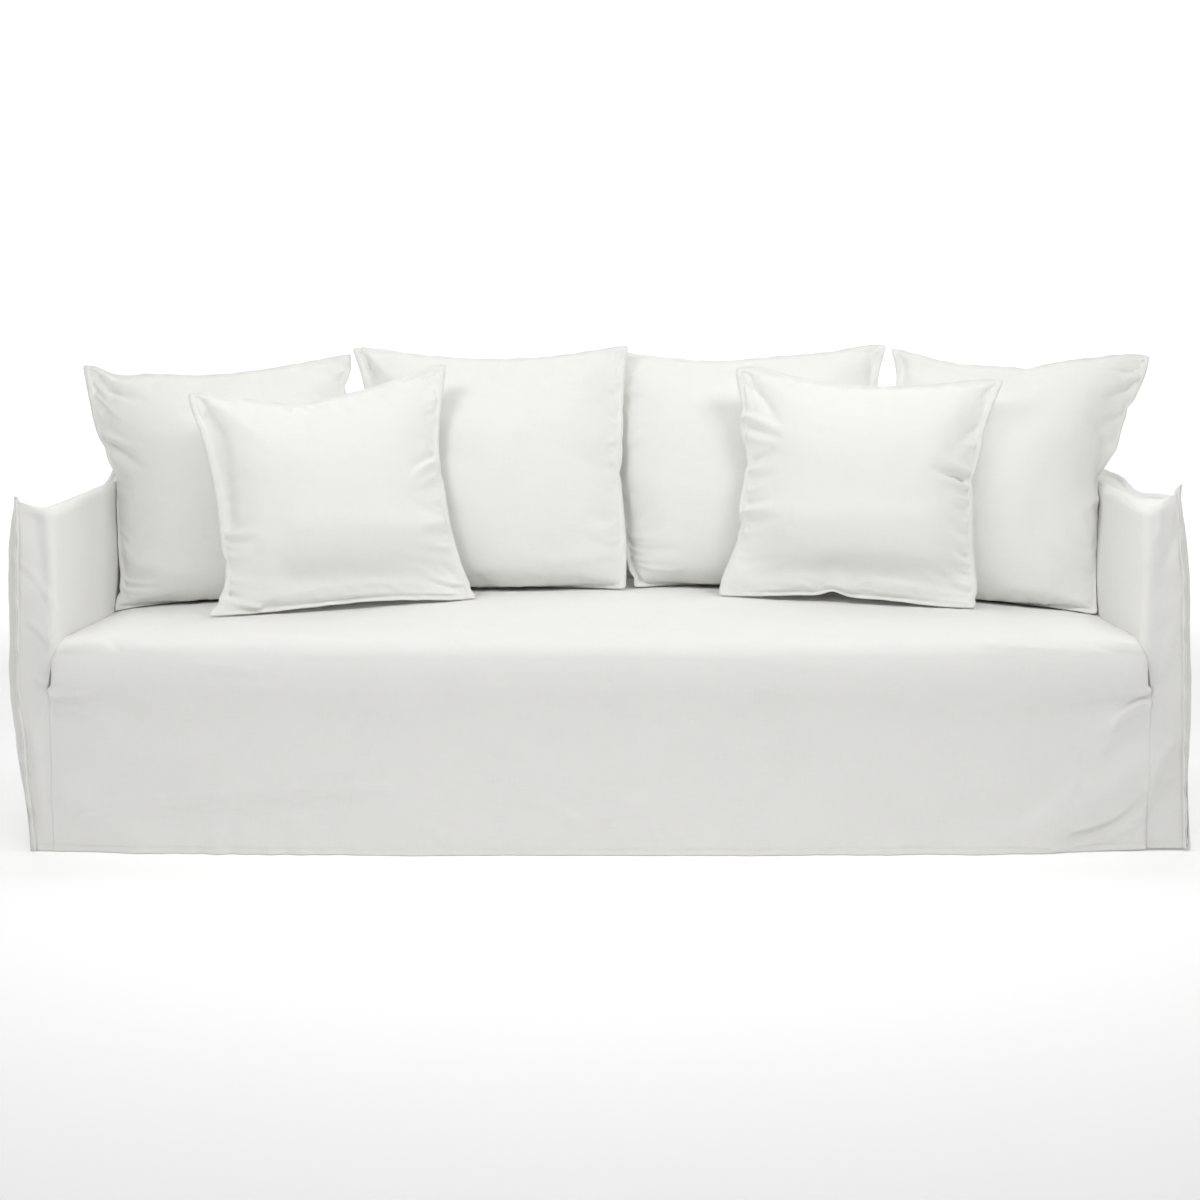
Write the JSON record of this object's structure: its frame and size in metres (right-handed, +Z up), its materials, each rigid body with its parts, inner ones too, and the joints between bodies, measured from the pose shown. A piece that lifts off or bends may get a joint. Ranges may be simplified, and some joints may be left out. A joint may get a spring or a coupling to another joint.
{
  "type": "sofa slipcover with loose cushions",
  "caption": "Off-white linen slipcover for a bench-seat sofa, with flat flanged seams, a skirt to the floor, and its loose back and scatter cushions in the same cloth.",
  "frame": {"origin": "the point that carries the cover, under the middle of the seat deck, where the deck of the covered sofa would hold it up; the floor is 0.462 m below it", "axes": "+X to the right as seen from the front, along the length of the sofa; +Y from the front of the seat to the back; +Z up"},
  "size_m": [2.5137, 1.0201, 1.0319],
  "materials": {
    "cover_cloth": "matt plain-woven linen and cotton",
    "cushion_cloth": "matt plain-woven linen and cotton"
  },
  "bodies": {
    "root": {"seat_and_skirt": "cover_cloth", "inside_arm_left": "cover_cloth", "inside_arm_right": "cover_cloth", "outside_arm_left": "cover_cloth", "outside_arm_right": "cover_cloth", "inside_back": "cover_cloth", "outside_back": "cover_cloth", "back_cushion_1": "cushion_cloth", "back_cushion_2": "cushion_cloth", "back_cushion_3": "cushion_cloth", "back_cushion_4": "cushion_cloth", "scatter_cushion_left": "cushion_cloth", "scatter_cushion_right": "cushion_cloth"}
  },
  "joints": []
}
